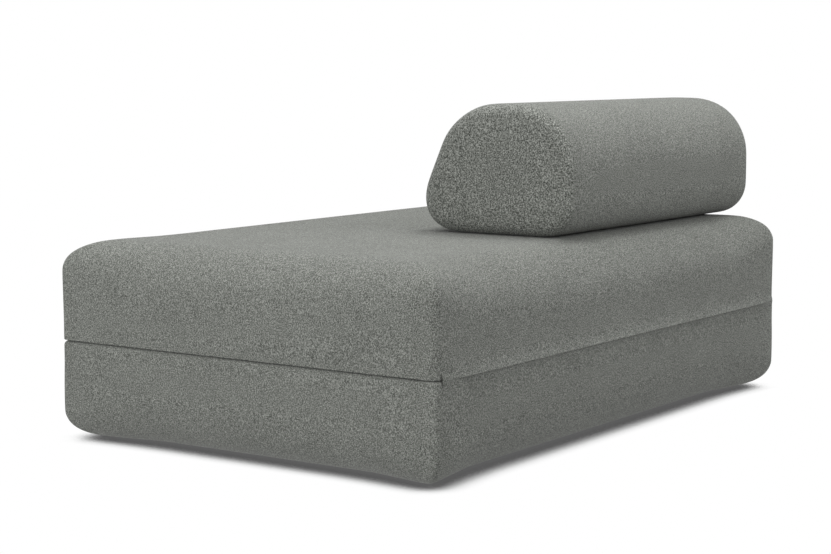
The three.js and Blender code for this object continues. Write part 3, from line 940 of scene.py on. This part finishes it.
def bolsterForm(name, low, high):
    # leaning box with four rolled long edges, then rolled round both ends; ends in edit mode
    footY = low.y - bolsterShape["footOvershoot"]
    piece = cubeBetween(name, (low.x, footY, low.z), high)
    bpy.ops.object.mode_set(mode="EDIT")

    def pickLongEdge(y, z):
        pickEdges(piece, lambda a, b: near(a.y, y) and near(b.y, y) and near(a.z, z) and near(b.z, z))

    pickLongEdge(footY, high.z)
    bpy.ops.transform.translate(value=(0, bolsterShape["frontLean"], 0))
    crownY = footY + bolsterShape["frontLean"]
    for y, z, roll in ((footY, low.z, "frontFoot"), (high.y, low.z, "backFoot"),
                       (high.y, high.z, "backCrown"), (crownY, high.z, "frontCrown")):
        radius, steps = bolsterShape[roll]
        pickLongEdge(y, z)
        bpy.ops.mesh.bevel(offset=radius, segments=steps, affect="EDGES")
    radius, steps = bolsterShape["endRoll"]
    pickEdges(piece, lambda a, b: near(a.x, b.x, 1e-5))
    bpy.ops.mesh.bevel(offset=radius, segments=steps, affect="EDGES")
    return piece


def bolsterCushion():
    low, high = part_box("bolster_cover")
    tapeLow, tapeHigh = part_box("bolster_zip_tape")
    panelLow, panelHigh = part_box("bolster_base_panel")
    less = bolsterShape["undersize"]
    low = low + Vector((slab["zipSideUndersize"], less, 0))
    high = high - Vector((less, less, less))
    piece = bolsterForm("bolsterCushion", low, high)
    roll = bolsterShape["endRoll"][0]
    border = bolsterShape["endGridBorder"]
    pickEdges(piece, lambda a, b: near(a.x, b.x, 1e-5) and (a - b).length > 0.12)
    bpy.ops.mesh.subdivide(number_cuts=7)
    pickEdges(piece, lambda a, b: near(a.x, b.x, 1e-5) and 0.05 < (a - b).length < 0.12)
    bpy.ops.mesh.subdivide(number_cuts=2)
    cutLines(piece, 0, evenSteps(low.x + roll, high.x - roll, bolsterShape["pitch"]))
    for end in (low.x, high.x):
        pickFaces(piece, lambda middle, normal: near(middle.x, end) and abs(normal.x) > 0.99)
        bpy.ops.mesh.inset(thickness=bolsterShape["endRing"])
        bpy.ops.mesh.inset(thickness=bolsterShape["endRing"])
        for axis in (1, 2):
            for place in evenSteps(low[axis], high[axis], bolsterShape["pitch"]):
                spot, normal = [0.0, 0.0, 0.0], [0.0, 0.0, 0.0]
                spot[axis] = place
                normal[axis] = 1.0
                pickFaces(piece, lambda middle, turn: near(middle.x, end) and abs(turn.x) > 0.99
                          and low.y + border[0] < middle.y < high.y - border[1]
                          and low.z + border[1] < middle.z < high.z - border[1])
                bpy.ops.mesh.bisect(plane_co=spot, plane_no=normal, threshold=0.001)
    recess(piece, 2, low.z, panelLow - recessEase["panel"], panelHigh + recessEase["panel"],
           bolsterShape["baseSink"])
    recess(piece, 0, low.x, tapeLow - recessEase["slot"], tapeHigh + recessEase["slot"],
           bolsterShape["slotSink"])
    bpy.ops.mesh.select_all(action="SELECT")
    bpy.ops.mesh.normals_make_consistent(inside=False)
    bpy.ops.object.mode_set(mode="OBJECT")

    def held(spot):
        around = bolsterShape["heldByZip"]
        onBase = spot.z < low.z + slab["heldByBase"]
        byZip = (spot.x < low.x + slab["heldByMate"]
                 and tapeLow.y - around < spot.y < tapeHigh.y + around
                 and tapeLow.z - around < spot.z < tapeHigh.z + around)
        return onBase or byZip

    puffed(piece, held, bolsterShape["sidePuff"], bolsterShape["sidePuff"])
    applied(piece, "SUBSURF", levels=1, render_levels=1)
    for vertex in piece.data.vertices:
        vertex.co.z = max(vertex.co.z, low.z)
    makeActive(piece)
    bpy.ops.object.shade_smooth_by_angle(angle=math.radians(50))
    piece.data.materials.append(coverCloth)
    piece.data.materials.append(endCloth)
    for face in piece.data.polygons:
        face.material_index = 1 if abs(face.normal.x) > 0.45 else 0
    return piece


bolsterCushionPiece = bolsterCushion()
settle(bolsterCushionPiece, "bolster", "cover_cloth", "bolster_cover", "bolster_end_near",
       "bolster_end_far", fill=0.9)
bolsterBase = thinPanel("bolsterGripPanel", "bolster_base_panel", 0.010, 0)
finishWith(bolsterBase, rubberDots)
settle(bolsterBase, "bolster", "grip_cloth", "bolster_base_panel", fill=0.2)
print("bolster made:", len(bolsterCushionPiece.data.vertices))


def bolsterInner(name, inset, material):
    low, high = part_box("bolster_cover")
    piece = bolsterForm(name, low, high)
    bpy.ops.mesh.select_all(action="SELECT")
    bpy.ops.transform.shrink_fatten(value=-inset)
    cutLines(piece, 0, evenSteps(low.x + 0.04, high.x - 0.04, 0.06))
    bpy.ops.mesh.select_all(action="SELECT")
    bpy.ops.mesh.normals_make_consistent(inside=False)
    bpy.ops.object.mode_set(mode="OBJECT")
    makeActive(piece)
    bpy.ops.object.shade_smooth_by_angle(angle=math.radians(40))
    finishWith(piece, material)
    return piece


bolsterCore = bolsterInner("bolsterCore", bolsterShape["coreInset"], firmFoam)
settle(bolsterCore, "bolster", "firm_foam", "bolster_core", fill=1.0)
bolsterFleece = bolsterInner("bolsterFleece", bolsterShape["fleeceInset"], fleece)
applied(bolsterFleece, "SOLIDIFY", thickness=filling["fleeceLoft"] - 0.001, offset=-1)
settle(bolsterFleece, "bolster", "wadding", "bolster_wadding", fill=0.7)
print("bolster filling made")


zipParts = {
    "coilPitch": 0.0017,
    "coilWire": 0.00042,
    "coilHalf": 0.0022,
    "coilThick": 0.00085,
    "tapeGap": 0.0004,
    "tapeBelowCoil": 0.0014,
    "ridgeIn": 0.0018,          # rolled ridge along each tape's inner edge
    "ridgeFoot": 0.0042,
    "ridgeRise": 0.0005,
    "stitchLength": 0.0026,
    "stitchPitch": 0.0042,
    "stitchThick": 0.00042,
    "stitchInset": 0.0042,
    "metalEdge": 0.00025,
}


def zipTape(name, node):
    # two ribbed tape halves with a rolled inner edge each
    low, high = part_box(node)
    middle = (low.z + high.z) / 2
    backX, faceX = high.x, low.x + zipParts["tapeBelowCoil"]
    halves = []
    for side in (-1, 1):
        inner = middle + side * zipParts["tapeGap"]
        outer = low.z if side < 0 else high.z
        half = cubeBetween(name + str(side), (faceX, low.y, min(inner, outer)),
                           (backX, high.y, max(inner, outer)))
        bpy.ops.object.mode_set(mode="EDIT")
        cutLines(half, 1, evenSteps(low.y, high.y, 0.02))
        ridge = inner + side * zipParts["ridgeIn"]
        cutLines(half, 2, [ridge, inner + side * zipParts["ridgeFoot"]])
        pickEdges(half, lambda a, b: near(a.x, faceX) and near(b.x, faceX)
                  and near(a.z, ridge) and near(b.z, ridge))
        bpy.ops.transform.translate(value=(-zipParts["ridgeRise"], 0, 0))
        bpy.ops.object.mode_set(mode="OBJECT")
        halves.append(half)
    piece = joined(name, halves)
    applied(piece, "BEVEL", width=0.0002, segments=2)
    finishWith(piece, tapeRibs)
    return piece


def zipCoil(name, node):
    low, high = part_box(node)
    pitch = zipParts["coilPitch"]
    turns = int((high.y - low.y - 0.004) / pitch)
    clearPick()
    wire = zipParts["coilWire"] / zipParts["coilHalf"]
    bpy.ops.mesh.primitive_torus_add(major_radius=1.0, minor_radius=wire, major_segments=10,
                                     minor_segments=4)
    ring = bpy.context.object
    ring.name = name
    ring.data.name = name
    bpy.ops.object.mode_set(mode="EDIT")
    bpy.ops.mesh.select_all(action="SELECT")
    bpy.ops.transform.resize(value=(zipParts["coilThick"], zipParts["coilHalf"], zipParts["coilHalf"]))
    bpy.ops.object.mode_set(mode="OBJECT")
    for vertex in ring.data.vertices:  # turned so that the loop stands across the tape
        x, y, z = vertex.co
        vertex.co = (x, z, y)
    ring.location = (low.x + 0.0011, low.y + 0.002, (low.z + high.z) / 2)
    makeActive(ring)
    bpy.ops.object.transform_apply(location=True, rotation=True, scale=True)
    bpy.ops.object.mode_set(mode="EDIT")
    bpy.ops.mesh.select_all(action="SELECT")
    bpy.ops.mesh.normals_make_consistent(inside=False)
    bpy.ops.object.mode_set(mode="OBJECT")
    applied(ring, "ARRAY", count=turns, use_relative_offset=False, use_constant_offset=True,
            constant_offset_displace=(0, pitch, 0))
    makeActive(ring)
    bpy.ops.object.shade_smooth()
    finishWith(ring, coilPlastic)
    return ring


def zipStitches(name, node, faceX):
    # two rows of lockstitch that hold the cover to the tape
    low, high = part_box(node)
    rows = []
    for z in (low.z - zipParts["stitchInset"], high.z + zipParts["stitchInset"]):
        clearPick()
        bpy.ops.mesh.primitive_uv_sphere_add(segments=6, ring_count=4, radius=0.5,
                                             location=(faceX, low.y + 0.003, z))
        stitch = bpy.context.object
        stitch.scale = (zipParts["stitchThick"], zipParts["stitchLength"], zipParts["stitchThick"] * 1.6)
        bpy.ops.object.transform_apply(location=True, rotation=True, scale=True)
        count = int((high.y - low.y - 0.006) / zipParts["stitchPitch"])
        applied(stitch, "ARRAY", count=count, use_relative_offset=False, use_constant_offset=True,
                constant_offset_displace=(0, zipParts["stitchPitch"], 0))
        rows.append(stitch)
    piece = joined(name, rows)
    bpy.ops.object.shade_smooth()
    finishWith(piece, thread)
    return piece


def polished(name, node, material):
    # the frame's own piece with its corners eased
    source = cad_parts[node]
    clearPick()
    source.select_set(True)
    bpy.context.view_layer.objects.active = source
    bpy.ops.object.duplicate()
    piece = bpy.context.object
    world = piece.matrix_world.copy()
    piece.parent = None
    piece.matrix_world = world
    piece.name = name
    piece.data.name = name
    for key in list(piece.keys()):
        del piece[key]
    makeActive(piece)
    bpy.ops.object.mode_set(mode="EDIT")
    bpy.ops.mesh.select_all(action="SELECT")
    bpy.ops.mesh.remove_doubles(threshold=0.00001)
    bpy.ops.mesh.dissolve_limited(angle_limit=math.radians(1))
    bpy.ops.object.mode_set(mode="OBJECT")
    bpy.ops.object.transform_apply(location=True, rotation=True, scale=True)
    applied(piece, "BEVEL", width=zipParts["metalEdge"], segments=2, limit_method="ANGLE")
    makeActive(piece)
    bpy.ops.object.shade_smooth_by_angle(angle=math.radians(35))
    finishWith(piece, material)
    return piece


for prefix, body in (("lower", "lower_section"), ("upper", "upper_section"), ("bolster", "bolster")):
    tapeNode = prefix + "_zip_tape"
    coverLow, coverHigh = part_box(prefix + "_cover")
    tape = zipTape(prefix + "ZipTape", tapeNode)
    settle(tape, body, "zip_tape", tapeNode)
    coil = zipCoil(prefix + "ZipCoil", tapeNode)
    settle(coil, body, "zip_tape")
    stitches = zipStitches(prefix + "ZipStitches", tapeNode, coverLow.x + slab["zipSideUndersize"])
    settle(stitches, body, "cover_cloth")
    slider = polished(prefix + "ZipSlider", prefix + "_zip_slider", gunmetal)
    settle(slider, prefix + "_zip_slider", "zip_metal", prefix + "_zip_slider")
    pull = polished(prefix + "ZipPull", prefix + "_zip_pull", gunmetal)
    settle(pull, prefix + "_zip_pull", "zip_metal", prefix + "_zip_pull")
print("zips made")
